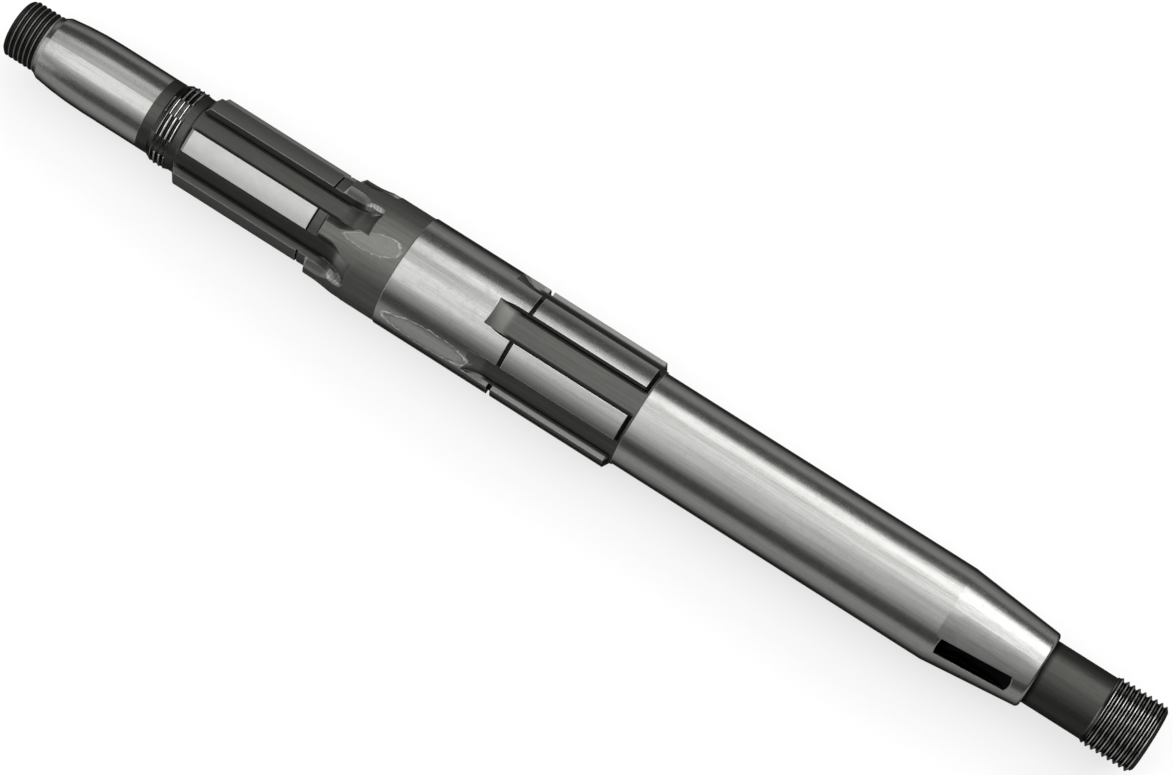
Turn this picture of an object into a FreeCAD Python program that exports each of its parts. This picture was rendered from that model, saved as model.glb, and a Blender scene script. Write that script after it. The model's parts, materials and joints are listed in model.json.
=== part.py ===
import FreeCAD, Part
import math
import os

# Transmission main shaft, one piece of hardened steel, in millimetres.
# It lies along X. The origin is on the axis, at the shoulder where the long
# gear journal meets the splined body. +X points to the clutch end, +Z is up.

# Clutch end, to the right of the shoulder
gear_journal_dia = 26.2
gear_journal_length = 89.55
clutch_taper_length = 26.05
clutch_taper_small_dia = 20.8
clutch_taper_corner = 1.1
neck_dia = 17.6
neck_length = 16.75
clutch_thread_dia = 19.05
clutch_thread_length = 14.7
clutch_thread_start = 1.0
clutch_thread_point = 1.0
clutch_thread_point_drop = 1.3

# Body with the second splines, to the left of the shoulder
body_dia = 30.4
body_length = 69.05
body_end_chamfer = 1.05
body_end_ring = 0.5
body_step_corner = 0.15

# Forged collar, slightly conical, and the narrow band beside it
collar_small_dia = 29.2
collar_large_dia = 29.8
collar_length = 21.9
collar_cone_length = 13.0
collar_chamfer = 0.8
band_dia = 25.5
band_length = 2.8

# First splines, their lead chamfer and the thread relief
spline_one_dia = 25.75
spline_one_length = 38.2
spline_one_chamfer = 1.7
relief_dia = 21.0
relief_length = 2.05
relief_hollow_reach = 0.4

# Middle thread, bearing journal with its curved lead, and end thread
middle_thread_dia = 22.2
middle_thread_length = 6.35
middle_thread_lead = 2.1
middle_thread_back = 0.6
bearing_journal_dia = 20.0
bearing_journal_length = 35.65
bearing_lead_length = 14.5
bearing_lead_drop = 1.15
bearing_shoulder_length = 1.5
end_thread_dia = 15.875
end_thread_length = 9.2
end_thread_point = 0.8

# Spline grooves. A land keeps parallel sides, and the cutter leaves a scooped end.
spline_count = 6
spline_cutter_radius = 10.0
spline_fan_overlap = 10.0
spline_one_land = 6.1
spline_one_floor_dia = 21.4
spline_one_angle = -16.9
spline_one_into_collar = 3.45
spline_one_flare = 34.0
spline_two_land = 7.1
spline_two_angle = -26.9
spline_two_length = 37.55
spline_two_floor_rise = 0.3

# Ring grooves turned across the lands
ring_groove_width = 1.2
ring_groove_depth = 1.1
ring_groove_from_shoulder = 34.45
stop_groove_width = 0.5
stop_groove_depth = 0.4

# Keyway milled into the taper with a disc cutter
keyway_width = 5.2
keyway_start = 1.35
keyway_length = 20.4
keyway_floor_radius = 9.7
keyway_cutter_radius = 9.5
keyway_angle = -48.9

# Centre drillings in both end faces
centre_mouth_dia = 5.6
centre_pilot_dia = 2.5
centre_pilot_depth = 3.0
centre_cone = 60.0
centre_tip = 118.0

overcut = 1.0

# Stations along the axis, all worked out from the shoulder at X = 0
x_taper = gear_journal_length
x_neck = x_taper + clutch_taper_length
x_clutch_thread = x_neck + neck_length
x_clutch_end = x_clutch_thread + clutch_thread_length
x_collar_right = -body_length
x_collar_left = x_collar_right - collar_length
x_band_left = x_collar_left - band_length
x_spline_one_left = x_band_left - spline_one_length
x_relief_left = x_spline_one_left - relief_length
x_middle_thread_left = x_relief_left - middle_thread_length
x_bearing_left = x_middle_thread_left - bearing_journal_length
x_end = x_bearing_left - end_thread_length

X_AXIS = FreeCAD.Vector(1, 0, 0)
Y_AXIS = FreeCAD.Vector(0, 1, 0)
ORIGIN = FreeCAD.Vector(0, 0, 0)


def profile_point(x, radius):
    return FreeCAD.Vector(x, 0, radius)


def profile_line(start, end):
    return Part.LineSegment(profile_point(*start), profile_point(*end)).toShape()


def profile_arc(start, middle, end):
    points = [profile_point(*place) for place in (start, middle, end)]
    return Part.Arc(*points).toShape()


def polyline(places):
    return [profile_line(a, b) for a, b in zip(places, places[1:])]


def bearing_lead():
    """Curved lead of the bearing journal, an arc that ends tangent to it."""
    radius = bearing_journal_dia / 2
    arc_radius = (bearing_lead_length**2 + bearing_lead_drop**2) / (2 * bearing_lead_drop)
    x_start = x_bearing_left + bearing_shoulder_length
    half = bearing_lead_length / 2
    half_drop = arc_radius - math.sqrt(arc_radius**2 - half**2)
    start = (x_start, radius - bearing_lead_drop)
    middle = (x_start + half, radius - half_drop)
    end = (x_start + bearing_lead_length, radius)
    return start, middle, end


def left_end_edges():
    """End thread, bearing journal, middle thread and relief, up to the first splines."""
    lead_start, lead_middle, lead_end = bearing_lead()
    thread = end_thread_dia / 2
    journal = bearing_journal_dia / 2
    middle = middle_thread_dia / 2
    relief = relief_dia / 2
    edges = polyline([
        (x_end, 0),
        (x_end, thread - end_thread_point),
        (x_end + end_thread_point, thread),
        (x_bearing_left, thread),
        lead_start,
    ])
    edges.append(profile_arc(lead_start, lead_middle, lead_end))
    edges += polyline([
        lead_end,
        (x_middle_thread_left, journal),
        (x_middle_thread_left + middle_thread_lead, middle),
        (x_relief_left - middle_thread_back, middle),
        (x_relief_left, relief),
        (x_spline_one_left - relief_hollow_reach, relief),
    ])
    # The relief runs into the chamfer of the lands through a small hollow
    rise = spline_one_dia / 2 - relief
    slope = math.atan2(rise, spline_one_chamfer)
    corner = (x_spline_one_left, relief)
    after = (corner[0] + relief_hollow_reach * math.cos(slope), relief + relief_hollow_reach * math.sin(slope))
    sag = relief_hollow_reach * math.tan((math.pi - slope) / 2)
    centre = (corner[0] - relief_hollow_reach, relief + sag)
    turn = slope / 2
    middle_point = (centre[0] + sag * math.sin(turn), centre[1] - sag * math.cos(turn))
    edges.append(profile_arc((corner[0] - relief_hollow_reach, relief), middle_point, after))
    return edges, after


def body_edges(start):
    """First splines, band, collar and body, up to the shoulder."""
    land = spline_one_dia / 2
    band = band_dia / 2
    body = body_dia / 2
    large = collar_large_dia / 2
    floor = gear_journal_dia / 2 + spline_two_floor_rise
    return polyline([
        start,
        (x_spline_one_left + spline_one_chamfer, land),
        (x_band_left, land),
        (x_band_left, land - stop_groove_depth),
        (x_band_left + stop_groove_width, land - stop_groove_depth),
        (x_band_left + stop_groove_width, band),
        (x_collar_left, band),
        (x_collar_left + collar_chamfer, collar_small_dia / 2),
        (x_collar_left + collar_cone_length, large),
        (x_collar_right, large),
        (x_collar_right + body_step_corner, body),
        (-body_end_ring - body_end_chamfer, body),
        (-body_end_ring, floor),
        (0, floor),
        (0, gear_journal_dia / 2),
    ])


def taper_corner_points():
    """Rounded small end of the taper, tangent to the cone and to its end face."""
    small = clutch_taper_small_dia / 2
    large = gear_journal_dia / 2
    fall = math.atan2(large - small, clutch_taper_length)
    turn = math.pi / 2 - fall
    setback = clutch_taper_corner * math.tan(turn / 2)
    start = (x_neck - setback * math.cos(fall), small + setback * math.sin(fall))
    end = (x_neck, small - setback)
    centre = (x_neck - clutch_taper_corner, small - setback)
    middle_angle = turn / 2
    middle = (
        centre[0] + clutch_taper_corner * math.cos(middle_angle),
        centre[1] + clutch_taper_corner * math.sin(middle_angle),
    )
    return start, middle, end


def clutch_end_edges():
    """Gear journal, clutch taper, neck and clutch thread, to the end face."""
    journal = gear_journal_dia / 2
    neck = neck_dia / 2
    thread = clutch_thread_dia / 2
    corner_start, corner_middle, corner_end = taper_corner_points()
    edges = polyline([(0, journal), (x_taper, journal), corner_start])
    edges.append(profile_arc(corner_start, corner_middle, corner_end))
    edges += polyline([
        corner_end,
        (x_neck, neck),
        (x_clutch_thread, neck),
        (x_clutch_thread + clutch_thread_start, thread),
        (x_clutch_end - clutch_thread_point, thread),
        (x_clutch_end, thread - clutch_thread_point_drop),
        (x_clutch_end, 0),
        (x_end, 0),
    ])
    return edges


def turned_blank():
    """The whole shaft as it leaves the lathe, before any milling."""
    left, start = left_end_edges()
    edges = left + body_edges(start) + clutch_end_edges()
    outline = Part.Wire(Part.__sortEdges__(edges))
    return Part.Face(outline).revolve(ORIGIN, X_AXIS, 360)


def spline_groove(land, floor_radius, land_radius, outer_radius, flare, x_open, x_full):
    """One groove with its centre at +Z: a straight cut, then the cutter's scooped end."""
    half_pitch = math.pi / spline_count
    half_land = land / 2

    def flank(radius):
        along = math.sqrt(radius**2 - half_land**2)
        across = along * math.sin(half_pitch) - half_land * math.cos(half_pitch)
        height = along * math.cos(half_pitch) + half_land * math.sin(half_pitch)
        return across, height

    def place(across, height):
        return FreeCAD.Vector(x_full, across, height)

    floor_across, floor_height = flank(floor_radius)
    top_across, top_height = flank(land_radius)
    lean = half_pitch + math.radians(flare)
    rise = outer_radius + overcut - top_height
    crown_across = top_across + rise * math.tan(lean)
    crown_height = outer_radius + overcut
    floor_left = place(-floor_across, floor_height)
    floor_right = place(floor_across, floor_height)
    top_left = place(-top_across, top_height)
    top_right = place(top_across, top_height)
    crown_left = place(-crown_across, crown_height)
    crown_right = place(crown_across, crown_height)
    outline = Part.Wire([
        Part.Arc(floor_left, place(0, floor_radius), floor_right).toShape(),
        Part.LineSegment(floor_right, top_right).toShape(),
        Part.LineSegment(top_right, crown_right).toShape(),
        Part.LineSegment(crown_right, crown_left).toShape(),
        Part.LineSegment(crown_left, top_left).toShape(),
        Part.LineSegment(top_left, floor_left).toShape(),
    ])
    section = Part.Face(outline)
    straight = section.extrude(FreeCAD.Vector(x_open - x_full, 0, 0))
    sweep = 90 if x_open < x_full else -90
    scoop = cutter_sweep(section, floor_radius, x_full, sweep)
    half_angle = math.atan2(floor_across, floor_height)
    fan = scoop_fan(floor_radius, outer_radius + overcut, half_angle, x_full, sweep)
    return straight.fuse([scoop, fan]).removeSplitter()


def cutter_sweep(section, floor_radius, x_full, sweep):
    """The section swung about the axis of the disc cutter that runs out at x_full."""
    cutter_axis = FreeCAD.Vector(x_full, 0, floor_radius + spline_cutter_radius)
    return section.revolve(cutter_axis, Y_AXIS * -1, sweep)


def scoop_fan(floor_radius, rim_radius, half_angle, x_full, sweep):
    """Widening of the scooped end, where the floor rises between two radial planes."""
    wide_angle = half_angle + math.radians(spline_fan_overlap)

    def place(radius, angle):
        return FreeCAD.Vector(x_full, radius * math.sin(angle), radius * math.cos(angle))

    def arc(radius, angle):
        return Part.Arc(place(radius, -angle), place(radius, 0), place(radius, angle)).toShape()

    def spoke(inner, outer, angle):
        return Part.LineSegment(place(inner, angle), place(outer, angle)).toShape()

    band = Part.Face(Part.Wire(Part.__sortEdges__([
        arc(floor_radius, wide_angle),
        spoke(floor_radius, rim_radius, wide_angle),
        arc(rim_radius, wide_angle),
        spoke(floor_radius, rim_radius, -wide_angle),
    ])))
    wedge = Part.Face(Part.Wire(Part.__sortEdges__([
        spoke(0, rim_radius, half_angle),
        arc(rim_radius, half_angle),
        spoke(0, rim_radius, -half_angle),
    ])))
    reach = math.copysign(spline_cutter_radius, sweep)
    between = wedge.extrude(X_AXIS * reach)
    return cutter_sweep(band, floor_radius, x_full, sweep).common(between)


def groove_ring(groove, land_angle):
    """The groove repeated between all lands; land_angle is measured from +Z towards +Y."""
    step = 360 / spline_count
    grooves = []
    for index in range(spline_count):
        copy = groove.copy()
        copy.rotate(ORIGIN, X_AXIS, -(land_angle + (index + 0.5) * step))
        grooves.append(copy)
    return grooves


def spline_one_grooves():
    groove = spline_groove(
        spline_one_land,
        spline_one_floor_dia / 2,
        spline_one_dia / 2,
        collar_large_dia / 2,
        spline_one_flare,
        x_middle_thread_left - overcut,
        x_collar_left + spline_one_into_collar,
    )
    return groove_ring(groove, spline_one_angle)


def spline_two_grooves():
    groove = spline_groove(
        spline_two_land,
        gear_journal_dia / 2 + spline_two_floor_rise,
        body_dia / 2,
        body_dia / 2,
        0,
        overcut,
        -spline_two_length,
    )
    return groove_ring(groove, spline_two_angle)


def ring_groove():
    """Groove for the retaining ring, cut across the lands of the second splines."""
    inner = body_dia / 2 - ring_groove_depth
    outer = body_dia / 2 + overcut
    x_right = -ring_groove_from_shoulder
    x_left = x_right - ring_groove_width
    places = [(x_left, inner), (x_right, inner), (x_right, outer), (x_left, outer), (x_left, inner)]
    section = Part.Face(Part.Wire(polyline(places)))
    return section.revolve(ORIGIN, X_AXIS, 360)


def taper_radius(x):
    fall = (gear_journal_dia - clutch_taper_small_dia) / 2 / clutch_taper_length
    return gear_journal_dia / 2 - fall * (x - x_taper)


def cutter_run(depth):
    """Length along the shaft over which the disc cutter leaves the given depth."""
    return math.sqrt(keyway_cutter_radius**2 - (keyway_cutter_radius - depth)**2)


def keyway():
    """Straight-sided slot with a level floor that curves up at both ends."""
    x_start = x_taper + keyway_start
    x_stop = x_start + keyway_length
    x_first = x_start + cutter_run(taper_radius(x_start) - keyway_floor_radius)
    x_last = x_stop - cutter_run(taper_radius(x_stop) - keyway_floor_radius)
    floor = keyway_floor_radius
    centre = floor + keyway_cutter_radius
    diagonal = keyway_cutter_radius * math.sqrt(0.5)
    edges = [
        profile_line((x_first, floor), (x_last, floor)),
        profile_arc(
            (x_last, floor),
            (x_last + diagonal, centre - diagonal),
            (x_last + keyway_cutter_radius, centre),
        ),
        profile_line((x_last + keyway_cutter_radius, centre), (x_first - keyway_cutter_radius, centre)),
        profile_arc(
            (x_first - keyway_cutter_radius, centre),
            (x_first - diagonal, centre - diagonal),
            (x_first, floor),
        ),
    ]
    side = Part.Face(Part.Wire(edges))
    side.translate(Y_AXIS * (-keyway_width / 2))
    slot = side.extrude(Y_AXIS * keyway_width)
    slot.rotate(ORIGIN, X_AXIS, -keyway_angle)
    return slot


def centre_drilling(x_face, inward):
    """Centre drilling in an end face; inward is +1 or -1 along X."""
    mouth = centre_mouth_dia / 2
    pilot = centre_pilot_dia / 2
    cone_depth = (mouth - pilot) / math.tan(math.radians(centre_cone / 2))
    tip_depth = pilot / math.tan(math.radians(centre_tip / 2))
    bottom = cone_depth + centre_pilot_depth
    places = [
        (x_face - inward * overcut, 0),
        (x_face - inward * overcut, mouth),
        (x_face, mouth),
        (x_face + inward * cone_depth, pilot),
        (x_face + inward * bottom, pilot),
        (x_face + inward * (bottom + tip_depth), 0),
        (x_face - inward * overcut, 0),
    ]
    section = Part.Face(Part.Wire(polyline(places)))
    return section.revolve(ORIGIN, X_AXIS, 360)


def main_shaft():
    cuts = spline_one_grooves() + spline_two_grooves()
    cuts += [ring_groove(), keyway(), centre_drilling(x_end, 1), centre_drilling(x_clutch_end, -1)]
    shape = turned_blank()
    for cut in cuts:
        shape = shape.cut(cut)
    return shape.Solids[0]


os.makedirs("parts", exist_ok=True)
shaft = main_shaft()
shaft.exportStep("parts/main_shaft.step")
print("main_shaft", "valid" if shaft.isValid() else "not valid", round(shaft.Volume, 1), "mm3")
print("length", round(shaft.BoundBox.XLength, 2), "mm, centre of mass", shaft.CenterOfMass)
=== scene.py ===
import json
import math
import bpy
import bmesh
import numpy as np
from mathutils import Matrix, Vector


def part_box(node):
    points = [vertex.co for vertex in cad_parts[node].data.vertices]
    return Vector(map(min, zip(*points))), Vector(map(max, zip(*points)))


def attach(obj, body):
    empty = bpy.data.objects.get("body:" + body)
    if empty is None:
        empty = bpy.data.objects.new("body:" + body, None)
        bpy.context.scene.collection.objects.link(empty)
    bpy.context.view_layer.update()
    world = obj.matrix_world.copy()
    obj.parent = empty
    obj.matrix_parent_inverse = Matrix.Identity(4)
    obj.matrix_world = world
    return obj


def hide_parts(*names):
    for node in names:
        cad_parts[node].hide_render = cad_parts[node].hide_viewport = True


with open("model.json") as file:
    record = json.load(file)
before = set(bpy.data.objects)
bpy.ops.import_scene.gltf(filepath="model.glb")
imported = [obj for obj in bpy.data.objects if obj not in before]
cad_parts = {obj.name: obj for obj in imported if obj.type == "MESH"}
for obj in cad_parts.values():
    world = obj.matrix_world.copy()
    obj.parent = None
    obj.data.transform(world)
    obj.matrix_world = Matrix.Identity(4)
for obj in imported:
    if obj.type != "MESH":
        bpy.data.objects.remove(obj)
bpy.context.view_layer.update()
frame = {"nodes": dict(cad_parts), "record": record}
mm = 0.001
shaftNode = frame["nodes"]["main_shaft"]
mounts = {m["name"]: m for m in frame["record"]["mounts"]}
lowEnd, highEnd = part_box("main_shaft")
endFace, clutchFace = lowEnd.x / mm, highEnd.x / mm
print("frame loaded:", len(shaftNode.data.polygons), "faces in the shaft")


def pinRadius(name):
    return mounts[name]["dims"]["r_mm"]


def pinLength(name):
    return mounts[name]["dims"]["length_mm"]


# Radii of the shaft, and stations along it from the shoulder that is the frame's origin, in millimetres
shaft = {
    "endThread": pinRadius("end_thread"),
    "endThreadTip": 7.1375,
    "endShoulder": endFace + 9.2,
    "bearingJournal": pinRadius("bearing_journal"),
    "journalGroundEnd": -143.4,
    "middleThread": 11.1,
    "middleThreadStart": -140.35,
    "middleThreadEnd": -134.0,
    "relief": 10.5,
    "landsOneStart": -131.95,
    "landsOneChamfer": 1.7,
    "landsOneEnd": -93.75,
    "landsOne": 12.875,
    "floorOne": 10.7,
    "fullDepthOneEnd": -87.5,
    "exitOneEnd": -79.35,
    "stopGrooveEnd": -93.25,
    "stopGroove": 12.475,
    "band": 12.75,
    "collarStart": -90.95,
    "collarRadius": 14.6,
    "collarConeEnd": -77.95,
    "collarLargeRadius": 14.9,
    "bodyStart": -69.05,
    "bodyEnd": -1.55,
    "bodyFoot": -0.5,
    "body": pinRadius("body_journal"),
    "ringGrooveStart": -35.65,
    "ringGrooveEnd": -34.45,
    "ringGroove": 14.1,
    "fullDepthTwoStart": -37.55,
    "floorTwo": 13.4,
    "gearJournal": pinRadius("gear_journal"),
    "taperStart": pinLength("gear_journal"),
    "taperSmall": 10.4,
    "keywayStart": 90.9,
    "keywayEnd": 111.3,
    "neckStart": clutchFace - 31.45,
    "neck": 8.8,
    "clutchThreadStart": clutchFace - 14.7,
    "clutchThread": pinRadius("clutch_thread"),
    "clutchThreadTip": 8.225,
}
landsOne = {"count": 6, "halfWidth": 3.05, "firstAngle": math.radians(-16.9)}
landsTwo = {"count": 6, "halfWidth": 3.55, "firstAngle": math.radians(-26.9)}

# Threads. Hand is 1 for a right-hand helix and -1 for a left-hand one. A lead is the length over which
# the crest rises from the radius at that end, and a fade the length over which the cut deepens.
threads = {
    "end": {
        "start": endFace, "startRadius": shaft["endThreadTip"], "startLead": 0.8,
        "end": shaft["endShoulder"], "endRadius": shaft["endThread"], "endLead": 0.0,
        "crest": shaft["endThread"], "pitch": 25.4 / 18, "hand": 1, "turn": 0.27,
        "fadeIn": 0.0, "fadeOut": 1.0, "floor": None,
    },
    "middle": {
        "start": shaft["middleThreadStart"], "startRadius": shaft["bearingJournal"], "startLead": 2.1,
        "end": shaft["middleThreadEnd"], "endRadius": shaft["relief"], "endLead": 0.6,
        "crest": shaft["middleThread"], "pitch": 25.4 / 18, "hand": 1, "turn": 0.58,
        "fadeIn": 0.0, "fadeOut": 0.0, "floor": shaft["floorOne"],
    },
    "clutch": {
        "start": shaft["clutchThreadStart"], "startRadius": shaft["neck"], "startLead": 1.0,
        "end": clutchFace, "endRadius": shaft["clutchThreadTip"], "endLead": 1.0,
        "crest": shaft["clutchThread"], "pitch": 25.4 / 16, "hand": -1, "turn": -0.11,
        "fadeIn": 1.2, "fadeOut": 0.0, "floor": None,
    },
}
# Flats and depth as shares of the pitch, then the points of the mesh around a thread and in each pitch,
# and the gap to the solid's circles in millimetres
threadForm = {
    "crestFlat": 0.125, "rootFlat": 0.16, "depth": 0.5,
    "columns": 144, "perPitch": 16, "seam": 0.01,
}


# Share of a turn from the nearest crest: 0 on it and 0.5 in the root. This and landDistance take
# arrays as well as the signals of the finish. Angles run from +Z towards +Y.
def crestDistance(spec, x, angle):
    phase = (x - spec["start"]) / spec["pitch"] + angle * (spec["hand"] / (2 * math.pi)) + spec["turn"]
    return abs(phase % 1.0 - 0.5)


# Angle from the middle of the nearest land
def landDistance(angle, lands):
    step = 2 * math.pi / lands["count"]
    return abs((angle - lands["firstAngle"] + step / 2) % step - step / 2)


# Outline across the first splines: lands with parallel sides, and a round floor between them
def splineSection(angle, floor):
    side = landsOne["halfWidth"] / np.maximum(np.sin(landDistance(angle, landsOne)), 1e-6)
    return np.maximum(side, floor)


# Radius of a cut thread at each station and angle
def threadRadius(spec, x, angle):
    low = threadForm["crestFlat"]
    high = 1 - threadForm["rootFlat"]
    slope = (crestDistance(spec, x, angle) * 2 - low) / (high - low)
    cut = np.clip(slope, 0, 1) * threadForm["depth"] * spec["pitch"]
    fromStart, fromEnd = x - spec["start"], spec["end"] - x
    if spec["fadeIn"]:
        cut = cut * np.clip(fromStart / spec["fadeIn"], 0, 1)
    if spec["fadeOut"]:
        cut = cut * np.clip(fromEnd / spec["fadeOut"], 0, 1)
    radius = spec["crest"] - cut
    for reached, lead, tip in (
        (fromStart, spec["startLead"], spec["startRadius"]),
        (fromEnd, spec["endLead"], spec["endRadius"]),
    ):
        if lead:
            radius = np.minimum(radius, tip + reached / lead * (spec["crest"] - tip))
    if spec["floor"]:
        radius = np.minimum(radius, splineSection(angle, spec["floor"]))
    return radius


# Even angles, with more where the walls of the spline grooves cross a thread
def threadAngles(spec):
    angles = list(np.linspace(-math.pi, math.pi, threadForm["columns"], endpoint=False))
    if spec["floor"]:
        step = 2 * math.pi / landsOne["count"]
        for index in range(landsOne["count"]):
            for radius in (spec["floor"], 0.5 * (spec["floor"] + spec["crest"]), spec["crest"]):
                edge = math.asin(landsOne["halfWidth"] / radius)
                middle = landsOne["firstAngle"] + index * step
                angles += [middle - edge, middle + edge]
    wrapped = [(a + math.pi) % (2 * math.pi) - math.pi for a in angles]
    return np.array(sorted(wrapped))


# A thread as rings of points that replace the plain stretch between two circles of the solid
def addThread(bm, spec):
    angles = threadAngles(spec)
    count = int((spec["end"] - spec["start"]) / spec["pitch"] * threadForm["perPitch"])
    stations = np.linspace(spec["start"] + threadForm["seam"], spec["end"] - threadForm["seam"], count)
    radii = threadRadius(spec, *np.meshgrid(stations, angles, indexing="ij"))
    radii[0, :] = spec["startRadius"]
    radii[-1, :] = spec["endRadius"]
    rings = []
    for x, row in zip(stations, radii):
        rings.append([
            bm.verts.new((x * mm, r * math.sin(a) * mm, r * math.cos(a) * mm))
            for a, r in zip(angles, row)
        ])
    for first, second in zip(rings, rings[1:]):
        for k in range(len(angles)):
            after = (k + 1) % len(angles)
            bm.faces.new((first[k], second[k], second[after], first[after]))
    return rings[0], rings[-1]


def edgesBetween(bm, ring):
    return [bm.edges.get((vert, ring[(k + 1) % len(ring)])) for k, vert in enumerate(ring)]


def openEdgesAt(bm, x):
    near = 2e-6
    return [
        e for e in bm.edges
        if e.is_boundary and all(abs(v.co.x - x * mm) < near for v in e.verts)
    ]


# The faces of the plain stretch that a thread replaces, without the flat ones across its ends
def plainStretch(bm, spec):
    near = 1e-6
    low, high = spec["start"] * mm - near, spec["end"] * mm + near
    core = spec["crest"] * mm / 2
    return [
        f for f in bm.faces
        if all(low < v.co.x < high and v.co.yz.length > core for v in f.verts)
        and max(v.co.x for v in f.verts) - min(v.co.x for v in f.verts) > 10 * near
    ]


# The shaft as it shows: the solid's own surface, with its three plain stretches cut as threads
def makeShaft():
    mesh = shaftNode.data.copy()
    corner = mesh.attributes.new("solidNormal", "FLOAT_VECTOR", "CORNER")
    normals = np.zeros(len(mesh.loops) * 3, np.float32)
    mesh.corner_normals.foreach_get("vector", normals)
    corner.data.foreach_set("vector", normals)
    bm = bmesh.new()
    bm.from_mesh(mesh)
    bmesh.ops.remove_doubles(bm, verts=bm.verts, dist=1e-7)
    for spec in threads.values():
        bmesh.ops.delete(bm, geom=plainStretch(bm, spec), context="FACES")
    for spec in threads.values():
        startEdges = openEdgesAt(bm, spec["start"])
        endEdges = openEdgesAt(bm, spec["end"])
        first, last = addThread(bm, spec)
        bmesh.ops.bridge_loops(bm, edges=startEdges + edgesBetween(bm, first))
        bmesh.ops.bridge_loops(bm, edges=endEdges + edgesBetween(bm, last))
    loose = [v for v in bm.verts if not v.link_faces]
    bmesh.ops.delete(bm, geom=loose, context="VERTS")
    bmesh.ops.recalc_face_normals(bm, faces=bm.faces)
    openEdges = [e for e in bm.edges if len(e.link_faces) != 2]
    for face in bm.faces:
        face.smooth = True
    bm.to_mesh(mesh)
    bm.free()
    print("shaft mesh:", len(mesh.polygons), "faces,", len(openEdges), "open edges")
    keepNormals(mesh)
    piece = bpy.data.objects.new("splined_shaft", mesh)
    bpy.context.scene.collection.objects.link(piece)
    return piece


def readVectors(source, name, count):
    values = np.zeros(count * 3, np.float32)
    source.foreach_get(name, values)
    return values.reshape(-1, 3)


def radialDirection(places):
    outward = places * [[0.0, 1.0, 1.0]]
    return outward / np.maximum(np.linalg.norm(outward, axis=1, keepdims=True), 1e-9)


# The solid's exact normals stay on its own faces, and those of a thread follow its circle
def keepNormals(mesh):
    loops = len(mesh.loops)
    faces = len(mesh.polygons)
    kept = readVectors(mesh.attributes["solidNormal"].data, "vector", loops)
    faceNormal = readVectors(mesh.polygon_normals, "vector", faces)
    faceCentre = readVectors(mesh.polygons, "center", faces)
    place = readVectors(mesh.vertices, "co", len(mesh.vertices))
    totals = np.zeros(faces, np.int32)
    mesh.polygons.foreach_get("loop_total", totals)
    corners = np.zeros(loops, np.int32)
    mesh.loops.foreach_get("vertex_index", corners)
    owner = np.repeat(np.arange(faces), totals)
    outward = radialDirection(faceCentre)
    along = (faceNormal * outward).sum(1, keepdims=True)
    turned = faceNormal[:, :1] * [[1.0, 0.0, 0.0]]
    sideways = np.linalg.norm(faceNormal - turned - along * outward, axis=1)
    flat = faceNormal[owner]
    followed = turned[owner] + along[owner] * radialDirection(place[corners])
    followed /= np.maximum(np.linalg.norm(followed, axis=1, keepdims=True), 1e-9)
    followable = (sideways < 0.3)[owner]                      # faces that don't lean sideways
    strange = (np.linalg.norm(kept, axis=1) < 0.5) | ((kept * flat).sum(1) < 0.5)
    kept[strange & followable] = followed[strange & followable]
    kept[strange & ~followable] = flat[strange & ~followable]
    mesh.attributes.remove(mesh.attributes["solidNormal"])
    mesh.normals_split_custom_set(kept.tolist())


# A socket that takes part in Python arithmetic, for shader maths
class Signal:
    def __init__(self, finish, socket):
        self.finish = finish
        self.socket = socket

    def math(self, operation, *others):
        return self.finish.calculate(operation, self, *others)

    def __add__(self, other):
        return self.math("ADD", other)

    def __radd__(self, other):
        return self.finish.calculate("ADD", other, self)

    def __sub__(self, other):
        return self.math("SUBTRACT", other)

    def __rsub__(self, other):
        return self.finish.calculate("SUBTRACT", other, self)

    def __mul__(self, other):
        return self.math("MULTIPLY", other)

    def __rmul__(self, other):
        return self.finish.calculate("MULTIPLY", other, self)

    def __truediv__(self, other):
        return self.math("DIVIDE", other)

    def __rtruediv__(self, other):
        return self.finish.calculate("DIVIDE", other, self)

    def __mod__(self, other):
        return self.math("FLOORED_MODULO", other)

    def __abs__(self):
        return self.math("ABSOLUTE")

    def least(self, other):
        return self.math("MINIMUM", other)

    def most(self, other):
        return self.math("MAXIMUM", other)

    def rise(self, low, high):                                # smooth 0 to 1 between two values
        settings = {"interpolation_type": "SMOOTHSTEP"}
        sockets = {"Value": self, "From Min": low, "From Max": high, "To Min": 0.0, "To Max": 1.0}
        return self.finish.make("ShaderNodeMapRange", settings, sockets)[0]

    def between(self, low, high, soft):                       # 1 inside a range, with soft ends
        return self.rise(low - soft, low + soft) * (1 - self.rise(high - soft, high + soft))


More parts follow.
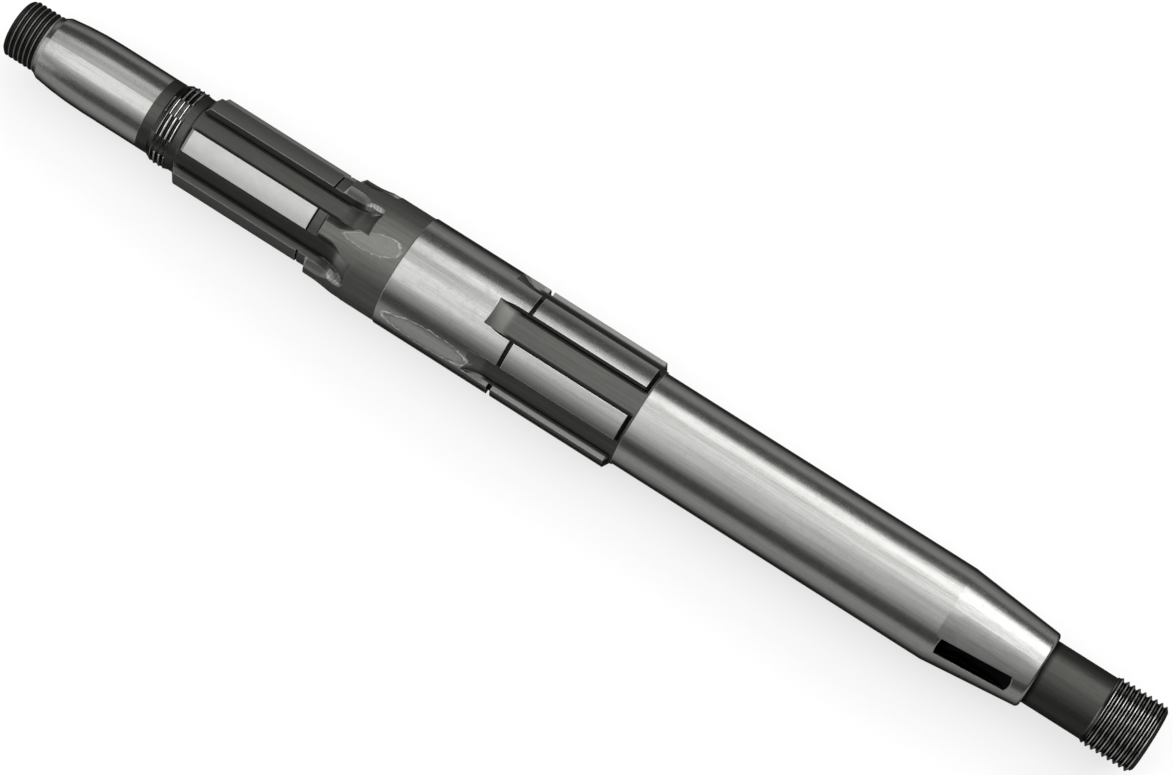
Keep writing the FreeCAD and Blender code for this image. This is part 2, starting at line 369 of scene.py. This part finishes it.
# The node tree of one material
class Finish:
    def __init__(self, name):
        self.material = bpy.data.materials.new(name)
        self.material.use_nodes = True
        self.tree = self.material.node_tree
        self.tree.nodes.clear()

    # Any node: its settings are set first, then the values or links of its sockets
    def make(self, kind, settings, sockets):
        node = self.tree.nodes.new(kind)
        for key, value in settings.items():
            setattr(node, key, value)
        for key, value in sockets.items():
            target = node.inputs[key]
            if isinstance(value, Signal):
                self.tree.links.new(value.socket, target)
            else:
                target.default_value = value
        return [Signal(self, s) for s in node.outputs if s.enabled]

    def named(self, kind):                                    # a node's outputs by name
        return {s.socket.name: s for s in self.make(kind, {}, {})}

    def calculate(self, operation, *values):
        return self.make("ShaderNodeMath", {"operation": operation}, dict(enumerate(values)))[0]

    def mixColour(self, share, first, second):
        settings = {"data_type": "RGBA", "blend_type": "MIX"}
        return self.make("ShaderNodeMix", settings, {0: share, 6: first, 7: second})[0]

    def stretch(self, vector, factors):
        return self.make("ShaderNodeVectorMath", {"operation": "MULTIPLY"}, {0: vector, 1: factors})[0]

    def noise(self, vector, scale, detail=2.0, roughness=0.5):
        sockets = {"Vector": vector, "Scale": scale, "Detail": detail, "Roughness": roughness}
        return self.make("ShaderNodeTexNoise", {"noise_dimensions": "3D"}, sockets)[0]


def colour(grey, warm=0.0, olive=0.0):
    return (grey * (1 + warm), grey * (1 + olive), grey * (1 - warm - olive), 1.0)


# Colours of the steel and how rough it is, then the strengths of its layers and the look of its edges
steel = {
    "ground": colour(0.205, 0.008, 0.01),
    "groundStreak": colour(0.16, 0.01, 0.014),
    # frontLand is the painted highlight of the land that faces the camera
    "frontLand": colour(0.33, 0.01, 0.008),
    "otherLands": colour(0.078, 0.01, 0.03),
    "groove": colour(0.042, 0.01, 0.04),
    "grooveTwo": colour(0.055, 0.01, 0.03),
    "collar": colour(0.085, 0.01, 0.035),
    "neck": colour(0.036, 0.01, 0.04),
    "black": colour(0.005, 0.01, 0.03),
    "crest": colour(0.25, 0.01, 0.01),
    # glint is a painted highlight on the threads
    "glint": colour(0.45, 0.01, 0.01),
    "darkCrest": colour(0.12, 0.01, 0.02),
    "flank": colour(0.022, 0.01, 0.03),
    "edge": colour(0.5, 0.01, 0.01),
    # rim is the painted highlight of the slivers and of the marks' rims
    "rim": colour(0.8, 0.01, 0.01),
    "groundRough": 0.25,
    "landRough": 0.42,
    "grooveRough": 0.45,
    "collarRough": 0.5,
    "threadRough": 0.19,
    "mottleRough": 0.14,
    "grainRough": 0.1,
    "skin": 0.05,                                             # share of the dark skin that isn't metal
    "skinStreaks": 0.35,
    "groundStreaks": 0.7,
    "groundMottle": 0.5,
    "exits": 0.6,
    "walls": 0.6,
    # strength of the painted shade at the foot of the spline walls
    "dirt": 0.85,
    "collarFront": 0.5,
    "slivers": 0.36,
    "frontBorder": (0.3, 0.5),
    "edgeWear": {"skin": 0.2, "ground": 0.65, "landsOne": 0.3},
    "edgeRound": 0.24 * mm,
    "edgeBend": (0.01, 0.2),                                  # how far a rounded edge turns to show worn
    "edgeTint": (0.02, 0.02, 0.02, 1.0),
    "bump": {"Strength": 0.25, "Distance": 0.08 * mm},
    "grindingHeight": 0.3,
}

# Borders of the finishes in millimetres: fades, then lengths and heights from the place that each names.
# A pair is the start and end of a fade, or the two heights between which the stop groove is black.
borders = {
    "sharp": 0.03, "thin": 0.05, "wide": 0.2, "under": 0.1,
    "bodyTop": (-0.08, -0.04), "landsTop": (-0.2, -0.15), "collarTop": (-1.2, -0.1), "keywayDepth": (0.1, 0.2),
    "stopGroove": (-0.05, 0.15), "gearEnd": 0.25, "landsChamfer": 0.8, "collarFront": 0.8, "keyRim": 1,
    "exitOneStart": 3, "exitOneFade": 1.5, "exitOneFoot": 0.5, "exitOneTop": 0.2, "exitOneEdge": 0.3,
    "exitTwoLength": 6.5, "neckShade": (0.1, 1.6),
}
# Shares of the painted shade at the start of the neck, in the ring groove and on the chamfer
paintedShadeShares = {"neck": 0.85, "ring": 0.85, "chamfer": 0.8}


# 1 along a stretch of the shaft
def stretchOf(x, start, end, fade="sharp"):
    return x.between(start, end, borders[fade])


# Ground metal: the bearing journal, the body with the second lands, and the gear journal with the taper
def groundZone(x, radius):
    journal = stretchOf(x, shaft["endShoulder"], shaft["journalGroundEnd"])
    journal = journal * (radius - shaft["endThread"]).rise(0, borders["thin"])
    body = stretchOf(x, shaft["bodyStart"], shaft["bodyEnd"])
    body = body * (radius - shaft["body"]).rise(*borders["bodyTop"])
    gear = stretchOf(x, 0.0, shaft["neckStart"] - borders["gearEnd"])
    return journal.most(body).most(gear)


# The tops of the first lands, which slope down to the relief in their end chamfer
def landsZone(x, radius):
    slope = (shaft["landsOne"] - shaft["relief"]) / shaft["landsOneChamfer"]
    top = ((x - shaft["landsOneStart"]) * slope + shaft["relief"]).least(shaft["landsOne"])
    run = stretchOf(x, shaft["landsOneStart"] + borders["landsChamfer"], shaft["landsOneEnd"])
    return run * (radius - top).rise(*borders["landsTop"])


# The collar's skin, on a cone that ends at its large radius
def collarZone(x, radius):
    length = shaft["collarConeEnd"] - shaft["collarStart"]
    slope = (shaft["collarLargeRadius"] - shaft["collarRadius"]) / length
    top = ((x - shaft["collarStart"]) * slope + shaft["collarRadius"]).least(shaft["collarLargeRadius"])
    run = stretchOf(x, shaft["collarStart"], shaft["bodyStart"])
    return run * (radius - top).rise(*borders["collarTop"])


# Where the grooves of either set of splines run out; the skin there is painted lighter as a painted reflection
def exitZones(x, radius):
    foot, top = shaft["floorOne"] + borders["exitOneFoot"], shaft["collarRadius"] - borders["exitOneTop"]
    start = shaft["fullDepthOneEnd"] + borders["exitOneStart"]
    one = x.between(start, shaft["exitOneEnd"], borders["exitOneFade"])
    one = one * radius.between(foot, top, borders["exitOneEdge"])
    deep = shaft["fullDepthTwoStart"]
    two = stretchOf(x, deep - borders["exitTwoLength"], deep - borders["wide"], "wide")
    foot, top = shaft["floorTwo"] + borders["thin"], shaft["body"] - borders["under"]
    return one, two * radius.between(foot, top, borders["thin"])


# Painted shade in black: the stop groove, the keyway, the ring groove and the chamfer at the end of the second
# lands are painted black as the shade in them, and the start of the neck as the shadow of the taper's shoulder
def paintedShadeZone(x, radius, neck):
    stop = stretchOf(x, shaft["landsOneEnd"], shaft["stopGrooveEnd"])
    stop = stop * (radius - shaft["stopGroove"]).between(*borders["stopGroove"], borders["sharp"])
    slope = (shaft["gearJournal"] - shaft["taperSmall"]) / (shaft["neckStart"] - shaft["taperStart"])
    taper = shaft["gearJournal"] - (x - shaft["taperStart"]) * slope
    keyway = stretchOf(x, shaft["keywayStart"], shaft["keywayEnd"])
    keyway = keyway * (taper - radius).rise(*borders["keywayDepth"])
    shade = neck * (1 - (x - shaft["neckStart"]).rise(*borders["neckShade"]))
    ring = stretchOf(x, shaft["ringGrooveStart"], shaft["ringGrooveEnd"])
    foot, top = shaft["ringGroove"] - borders["under"], shaft["body"] - borders["under"]
    ring = ring * radius.between(foot, top, borders["thin"])
    chamfer = stretchOf(x, shaft["bodyEnd"], shaft["bodyFoot"])
    chamfer = chamfer * (radius - shaft["floorTwo"]).rise(0, borders["under"])
    black = stop.most(keyway).most(shade * paintedShadeShares["neck"])
    return black.most(ring * paintedShadeShares["ring"]).most(chamfer * paintedShadeShares["chamfer"])


# Which finish lies where, and where shade is painted, from the stations along the shaft and the radius
def shaftZones(x, radius):
    exitOne, exitTwo = exitZones(x, radius)
    neck = (x - shaft["neckStart"]).rise(-borders["thin"], borders["thin"])
    onBand = (radius - shaft["band"]).rise(-borders["under"], 0)
    collarFront = stretchOf(x, shaft["collarStart"], shaft["collarStart"] + borders["collarFront"])
    keyRim = borders["keyRim"]
    zones = {
        "ground": groundZone(x, radius),
        "landsOne": landsZone(x, radius),
        "band": stretchOf(x, shaft["stopGrooveEnd"], shaft["collarStart"]) * onBand,
        "exitOne": exitOne,
        "exitTwo": exitTwo,
        "collar": collarZone(x, radius),
        "collarFront": collarFront * onBand,
        "grooveTwo": stretchOf(x, shaft["bodyStart"], 0.0),
        "keyRim": stretchOf(x, shaft["keywayStart"] - keyRim, shaft["keywayEnd"] + keyRim, "wide"),
        "neck": neck,
        "black": paintedShadeZone(x, radius, neck),
    }
    for name, spec in threads.items():
        zones[name] = stretchOf(x, spec["start"], spec["end"] - spec["endLead"])
    return zones


# Painted shade at the foot of the spline walls, and the walls themselves: how near to the wall each lies, and
# the heights over the floor between which the painted shade ends and the wall begins, in millimetres
wallLooks = {
    "one": {
        "lands": landsOne, "floor": shaft["floorOne"],
        "run": (shaft["landsOneStart"] + 1, shaft["fullDepthOneEnd"]),
        "dirtNear": (0.25, 0.6), "dirtTop": (0.2, 0.7), "wallNear": (0.1, 0.2), "wallFoot": (0.4, 0.8),
    },
    "two": {
        "lands": landsTwo, "floor": shaft["floorTwo"],
        "run": (shaft["fullDepthTwoStart"], shaft["bodyFoot"]),
        "dirtNear": (0.3, 0.7), "dirtTop": (0.3, 0.9), "wallNear": (0.1, 0.2), "wallFoot": (0.4, 0.9),
    },
}


def splineWall(look, x, radius, angle):
    run = x.between(*look["run"], 1.0)
    across = radius * landDistance(angle, look["lands"]).math("SINE")
    near = abs(across - look["lands"]["halfWidth"])
    height = radius - look["floor"]
    dirt = run * (1 - near.rise(*look["dirtNear"])) * (1 - height.rise(*look["dirtTop"]))
    wall = run * (1 - near.rise(*look["wallNear"])) * height.rise(*look["wallFoot"])
    return dirt, wall


# Painted highlights: the bright hatched slivers where the grooves beside the front land leave the collar and
# the scoops' flanks catch the light. Their place from the grooves' end and in angle from that land, their
# size, and the waves of the hatching
sliverLook = {
    "before": 2.6, "away": 0.78, "perMm": 0.36, "perRadian": 11, "lean": 0.3, "border": (0.4, 1.1),
    "waves": {"x": 7, "away": 45, "grain": 14}, "contrast": (-2.6, 1.2), "radii": (12.2, 12.8),
}


def scoopSliverHighlight(x, radius, angle, grain):
    away = abs(angle - landsOne["firstAngle"])
    waves = sliverLook["waves"]
    hatch = (x * waves["x"] + away * waves["away"] + grain * waves["grain"]).math("SINE")
    along = (x - (shaft["exitOneEnd"] - sliverLook["before"])) * sliverLook["perMm"]
    across = (away - sliverLook["away"]) * sliverLook["perRadian"] - along * sliverLook["lean"]
    inside = 1 - (along * along + across * across).rise(*sliverLook["border"])
    return inside * hatch.rise(*sliverLook["contrast"]) * radius.rise(*sliverLook["radii"])


# Colour keyed to this share is painted light: the lit land that faces the camera and the middle thread's
# painted highlights
def frontShare(angle, border):                                # 1 on the first land, which faces the camera
    return 1 - abs(angle - landsOne["firstAngle"]).rise(*border)


# Crests are lighter than the flanks, which are painted dark as the shade in the thread's grooves. A root is
# painted as a bright line, a painted glint, in the clutch thread, and in the middle thread where the upper
# grooves cross it; there the crests and upper flanks are painted light as a painted highlight, most on the
# land that faces the camera.
# Tops are heights from the crest in millimetres, the root's border is a share of a turn, and the other borders
# are angles in radians.
threadLook = {
    "crestTop": (-0.14, -0.03), "wornTop": (-0.4, -0.1), "rootBorder": (0.39, 0.45), "rootShare": 0.22,
    "landBorder": (0.27, 0.31), "frontBorder": (0.3, 0.4), "frontGlint": 0.8, "lineBorder": (-0.5, -0.35),
}


def threadColour(finish, name, x, radius, angle):
    spec = threads[name]
    height = radius - spec["crest"]
    crest = height.rise(*threadLook["crestTop"])
    if name == "end":
        return finish.mixColour(crest, steel["flank"], steel["darkCrest"])
    line = crestDistance(spec, x, angle).rise(*threadLook["rootBorder"])
    if not spec["floor"]:
        plain = finish.mixColour(crest, steel["flank"], steel["crest"])
        return finish.mixColour(line * threadLook["rootShare"], plain, steel["glint"])
    groove = landDistance(angle, landsOne).rise(*threadLook["landBorder"])
    front = frontShare(angle, threadLook["frontBorder"])
    wornAndLit = height.rise(*threadLook["wornTop"])
    flank = finish.mixColour(groove, steel["flank"], steel["groove"])
    plain = finish.mixColour(wornAndLit * (0.7 + 0.3 * front), flank, steel["crest"])
    plain = finish.mixColour(wornAndLit * front * threadLook["frontGlint"], plain, steel["glint"])
    return finish.mixColour(line * groove * angle.rise(*threadLook["lineBorder"]), plain, steel["glint"])


# Leaf-shaped marks left on the surface: centre along the shaft, angle, half sizes, lean and taper of
# the leaf, and how strongly its inside and its rim show
marks = {
    "collar": {
        "x": -77.6, "angle": -4.6, "radius": shaft["collarRadius"], "half": (7.3, 2.4),
        "lean": 14.5, "taper": 0.55, "fill": 0.12, "rim": 0.2,
    },
    "body": {
        "x": -54.6, "angle": -60.5, "radius": shaft["body"], "half": (12.0, 3.3),
        "lean": 2.0, "taper": 0.1, "fill": 0.06, "rim": 0.6,
    },
}
# Where the parts of a mark lie, as shares of the way from its centre to its border, how the border
# wanders, and how strongly the parts show, stand up and roughen the steel
markForm = {
    "inside": (0.96, 1.0), "rim": (0.97, 1.05, 0.04), "inner": (0.86, 0.94, 0.03),
    "wander": 0.45, "grain": 0.2, "wanderNoise": (0.55, 3.0, 0.6),
    "strengthNoise": (0.7, 3.0), "strength": (0.35, 0.65), "least": 0.25,
    "innerShare": 0.8, "insideGrain": (0.3, 0.65), "insideHeight": 0.3, "rimHeight": 1.5, "rimRough": 0.08,
}


# A mark's inside, its uneven rim painted light as a highlight, and the dark line within the rim painted as its
# shadow
def surfaceMark(finish, spec, x, angle, inMm, grain):
    lean = math.radians(spec["lean"])
    along = x - spec["x"]
    across = (angle - math.radians(spec["angle"])) * spec["radius"]
    first = (along * math.cos(lean) + across * math.sin(lean)) * (1 / spec["half"][0])
    second = across * math.cos(lean) - along * math.sin(lean)
    second = second / (first * spec["taper"] + 1) * (1 / spec["half"][1])
    wander = (finish.noise(inMm, *markForm["wanderNoise"]) - 0.5) * markForm["wander"]
    reach = (first * first + second * second).math("SQRT") + wander + (grain - 0.5) * markForm["grain"]
    strength = finish.noise(inMm, *markForm["strengthNoise"]).rise(*markForm["strength"])
    strength = strength * (1 - markForm["least"]) + markForm["least"]
    inside = 1 - reach.rise(*markForm["inside"])
    return inside, reach.between(*markForm["rim"]) * strength, reach.between(*markForm["inner"]) * strength


# A normal that rounds the edges, apart from those of the threads, and how much of an edge there is
def roundedNormal(finish, zones):
    rounded = finish.make("ShaderNodeBevel", {"samples": 4}, {"Radius": steel["edgeRound"]})[0]
    flat = finish.named("ShaderNodeNewGeometry")["Normal"]
    thread = zones["end"] + zones["middle"] + zones["clutch"]
    normal = finish.make("ShaderNodeMix", {"data_type": "VECTOR"}, {0: thread, 4: rounded, 5: flat})[0]
    likeness = finish.make("ShaderNodeVectorMath", {"operation": "DOT_PRODUCT"}, {0: normal, 1: flat})[0]
    return normal, (1 - likeness).rise(*steel["edgeBend"])


# Noise in the steel: how it is stretched along and across the shaft, and its scale, detail and roughness
textureLooks = {
    "streaks": {"stretch": (0.03, 1.0, 1.0), "noise": (1.6, 4.0, 0.6)},
    "grinding": {"stretch": (1.0, 0.02, 0.02), "noise": (9.0, 3.0, 0.7)},
    "mottle": {"stretch": (1.0, 1.0, 1.0), "noise": (0.5, 5.0, 0.65)},
    "grain": {"stretch": (1.0, 1.0, 1.0), "noise": (5.0, 4.0, 0.65)},
}


def steelTextures(finish, inMm):
    textures = {}
    for name, look in textureLooks.items():
        textures[name] = finish.noise(finish.stretch(inMm, look["stretch"]), *look["noise"])
    return textures


# The dark skin with its streaks, run-outs and spline walls, and painted shade at the foot of the walls
def skinColour(finish, zones, textures, walls, dirt):
    base = steel["groove"]
    for name in ("grooveTwo", "collar", "neck"):
        base = finish.mixColour(zones[name], base, steel[name])
    streaks = textures["streaks"].rise(0.35, 0.7) * 0.6 + textures["grain"].rise(0.5, 0.8)
    base = finish.mixColour(streaks * steel["skinStreaks"], base, steel["black"])
    # The run-outs are painted lighter, as painted reflection
    base = finish.mixColour(zones["exitTwo"], base, steel["otherLands"])
    base = finish.mixColour(zones["exitOne"] * steel["exits"], base, steel["groundStreak"])
    base = finish.mixColour(walls["one"] * steel["walls"], base, steel["otherLands"])
    base = finish.mixColour(walls["two"] * steel["walls"], base, steel["groundStreak"])
    return finish.mixColour(dirt, base, steel["black"])


def groundColour(finish, textures):
    streaks = textures["streaks"].rise(0.38, 0.72) * steel["groundStreaks"]
    mottle = textures["mottle"].rise(0.5, 0.75) * steel["groundMottle"]
    base = finish.mixColour(streaks, steel["ground"], steel["groundStreak"])
    return finish.mixColour(mottle, base, steel["groundStreak"])


def steelRoughness(zones, textures, rims):
    rough = steel["grooveRough"] + (steel["groundRough"] - steel["grooveRough"]) * zones["ground"]
    rough = rough + (steel["landRough"] - steel["groundRough"]) * zones["landsOne"]
    rough = rough + (steel["collarRough"] - steel["grooveRough"]) * zones["collar"]
    rough = rough + (steel["threadRough"] - steel["grooveRough"]) * (zones["clutch"] + zones["middle"])
    rough = rough + (textures["mottle"] - 0.5) * steel["mottleRough"]
    return rough + (textures["grain"] - 0.5) * steel["grainRough"] + rims * markForm["rimRough"]


def steelFinish():
    finish = Finish("hardened steel")
    place = finish.named("ShaderNodeTexCoord")["Object"]
    inMm = finish.make("ShaderNodeVectorMath", {"operation": "SCALE"}, {0: place, "Scale": 1 / mm})[0]
    x, y, z = finish.make("ShaderNodeSeparateXYZ", {}, {0: inMm})
    radius = (y * y + z * z).math("SQRT")
    angle = y.math("ARCTAN2", z)
    zones = shaftZones(x, radius)
    textures = steelTextures(finish, inMm)
    grain = textures["grain"]
    normal, edge = roundedNormal(finish, zones)

    feet, walls = {}, {}
    for name, look in wallLooks.items():
        feet[name], walls[name] = splineWall(look, x, radius, angle)
    # Painted shade in the corners at the foot of the spline walls
    dirt = feet["one"].most(feet["two"]) * steel["dirt"]
    base = skinColour(finish, zones, textures, walls, dirt)
    base = finish.mixColour(zones["ground"], base, groundColour(finish, textures))
    # The land that faces the camera is painted much lighter than the other lands, a painted highlight, and the
    # band is painted darker on that side
    front = frontShare(angle, steel["frontBorder"])
    lands = finish.mixColour(front, steel["otherLands"], steel["frontLand"])
    base = finish.mixColour(zones["landsOne"], base, lands)
    base = finish.mixColour(zones["band"] * (1 - front), base, steel["otherLands"])
    base = finish.mixColour(zones["collarFront"] * steel["collarFront"], base, steel["groundStreak"])
    # Painted highlight on the scoops' flanks
    base = finish.mixColour(scoopSliverHighlight(x, radius, angle, grain) * steel["slivers"], base, steel["rim"])
    for name in threads:
        base = finish.mixColour(zones[name], base, threadColour(finish, name, x, radius, angle))
    wear = steel["edgeWear"]
    wornAndLit = wear["skin"] + wear["ground"] * zones["ground"] + wear["landsOne"] * zones["landsOne"]
    base = finish.mixColour(edge * wornAndLit * (1 - zones["keyRim"]).least(1 - dirt), base, steel["edge"])
    # Painted shade: the grooves, the keyway, the chamfer and the neck by the shoulder are painted black
    base = finish.mixColour(zones["black"], base, steel["black"])
    rims = 0.0
    for spec in marks.values():
        inside, rim, inner = surfaceMark(finish, spec, x, angle, inMm, grain)
        # The mark is real and stands up in the bump; the line within its rim is painted shadow, and the rim a
        # painted highlight
        base = finish.mixColour(inner * spec["rim"] * markForm["innerShare"], base, steel["black"])
        speckled = inside * spec["fill"] * grain.rise(*markForm["insideGrain"])
        base = finish.mixColour(speckled, base, steel["edge"])
        base = finish.mixColour(rim * spec["rim"], base, steel["rim"])
        rims = inside * markForm["insideHeight"] + rim + rims

    dull = 1 - zones["ground"]
    height = textures["grinding"] * steel["grindingHeight"] * zones["ground"]
    height = height + grain * dull + textures["mottle"] * dull + rims * markForm["rimHeight"]
    bump = finish.make("ShaderNodeBump", {}, {"Height": height, "Normal": normal, **steel["bump"]})[0]
    shader = finish.make("ShaderNodeBsdfPrincipled", {}, {
        "Base Color": base,
        "Metallic": 1 - dull * (1 - zones["landsOne"]) * steel["skin"],
        "Roughness": steelRoughness(zones, textures, rims),
        "Normal": bump,
        "Specular Tint": steel["edgeTint"],
    })[0]
    finish.make("ShaderNodeOutputMaterial", {}, {"Surface": shader})
    return finish.material


floorLook = {"colour": (0.6, 0.6, 0.595, 1.0), "white": 0.66, "strength": 1.0, "radius": 4.0, "sides": 96}


# A pale floor that the camera and the metal see as near white, with the shaft's shadow on it
def makeFloor():
    bm = bmesh.new()
    bmesh.ops.create_circle(bm, cap_ends=True, segments=floorLook["sides"], radius=floorLook["radius"])
    mesh = bpy.data.meshes.new("floor")
    bm.to_mesh(mesh)
    bm.free()
    floor = bpy.data.objects.new("floor", mesh)
    floor.location = (0, 0, lowEnd.z)
    bpy.context.scene.collection.objects.link(floor)
    finish = Finish("pale floor")
    rays = finish.named("ShaderNodeLightPath")
    seen = rays["Is Camera Ray"].most(rays["Is Glossy Ray"]).most(rays["Is Transmission Ray"])
    lit = finish.make("ShaderNodeBsdfDiffuse", {}, {"Color": floorLook["colour"]})[0]
    white = finish.make("ShaderNodeEmission", {}, {"Strength": floorLook["strength"]})[0]
    both = finish.make("ShaderNodeMixShader", {}, {0: seen * floorLook["white"], 1: lit, 2: white})[0]
    finish.make("ShaderNodeOutputMaterial", {}, {"Surface": both})
    mesh.materials.append(finish.material)


# Lamps on an arc across the shaft: the angle is from the camera's direction towards +Y
lamps = {
    "fillLow": {"angle": (-50, -38), "along": (-0.75, 0.12), "radiance": 0.75},
    "fillHigh": {"angle": (-38, -24), "along": (-0.75, 0.12), "radiance": 1.35},
    "fillRight": {"angle": (-50, -24), "along": (0.12, 0.7), "radiance": 0.5},
    "mainLeft": {"angle": (-24, 14), "along": (-0.75, -0.13), "radiance": 3.5},
    "mainMiddle": {"angle": (-24, 6), "along": (-0.13, 0.12), "radiance": 1.95},
    "mainRight": {"angle": (-24, 6), "along": (0.12, 0.7), "radiance": 1.0},
    "highLeft": {"angle": (14, 38), "along": (-0.75, -0.16), "radiance": 1.9},
    "highMiddle": {"angle": (6, 38), "along": (-0.16, 0.12), "radiance": 3.2},
    "highRight": {"angle": (6, 38), "along": (0.12, 0.75), "radiance": 3.8},
    "stripLeft": {"angle": (42, 62), "along": (-0.7, -0.2), "radiance": 2.1},
    "stripMiddle": {"angle": (42, 69), "along": (-0.2, 0.12), "radiance": 4.6},
    "stripRight": {"angle": (40, 74), "along": (0.12, 0.75), "radiance": 5.8},
}
rig = {"distance": 0.8, "tilt": 9.4}
sideLamp = {"place": (-0.75, -0.3, 0.17), "towards": (-0.1, 0.0, 0.0), "size": (0.9, 0.34), "radiance": 2.2}
worldLook = {"colour": (1.0, 1.0, 1.0, 1.0), "strength": 0.16}


def addLamp(name, size, radiance, place, rotation):
    lamp = bpy.data.lights.new(name, "AREA")
    lamp.shape = "RECTANGLE"
    lamp.size, lamp.size_y = size
    lamp.energy = radiance * math.pi * lamp.size * lamp.size_y
    light = bpy.data.objects.new(name, lamp)
    light.location = place
    light.rotation_euler = rotation
    bpy.context.scene.collection.objects.link(light)


def makeLights():
    for name, spec in lamps.items():
        start, stop = spec["along"]
        low, high = spec["angle"]
        width = 2 * rig["distance"] * math.tan(math.radians((high - low) / 2))
        lean = math.radians((low + high) / 2 - rig["tilt"])
        away = Vector((0, math.sin(lean), math.cos(lean))) * rig["distance"]
        place = away + Vector(((start + stop) / 2, 0, 0))
        addLamp(name, (stop - start, width), spec["radiance"], place, (-lean, 0, 0))
    heading = Vector(sideLamp["towards"]) - Vector(sideLamp["place"])
    rotation = heading.to_track_quat("-Z", "Y").to_euler()
    addLamp("side", sideLamp["size"], sideLamp["radiance"], sideLamp["place"], rotation)
    world = bpy.data.worlds.new("studio")
    world.use_nodes = True
    background = world.node_tree.nodes["Background"]
    background.inputs["Color"].default_value = worldLook["colour"]
    background.inputs["Strength"].default_value = worldLook["strength"]
    bpy.context.scene.world = world


camera = {
    "azimuth": 32.8, "elevation": 78.9, "distance": 0.955, "lens": 118.75, "sensor": 36,
    "aim": (-15.35, -0.63, -0.10),
}


def makeCamera():
    turn, lift = math.radians(camera["azimuth"]), math.radians(camera["elevation"])
    back = Vector((math.sin(turn) * math.cos(lift), -math.cos(turn) * math.cos(lift), math.sin(lift)))
    right = Vector((math.cos(turn), math.sin(turn), 0))
    data = bpy.data.cameras.new("camera")
    data.lens = camera["lens"]
    data.sensor_width = camera["sensor"]
    view = bpy.data.objects.new("camera", data)
    place = Vector(camera["aim"]) * mm + back * camera["distance"]
    rotation = Matrix((right, back.cross(right), back)).transposed().to_4x4()
    view.matrix_world = Matrix.Translation(place) @ rotation
    bpy.context.scene.collection.objects.link(view)
    bpy.context.scene.camera = view


makeCamera()
makeLights()
makeFloor()
print("camera, lights and floor are in place")

shaftPiece = makeShaft()
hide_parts("main_shaft")
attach(shaftPiece, "root")
shaftPiece.data.materials.clear()
shaftPiece.data.materials.append(steelFinish())
print("shaft dressed")

bpy.context.scene.view_settings.view_transform = "Standard"
bpy.context.view_layer.update()
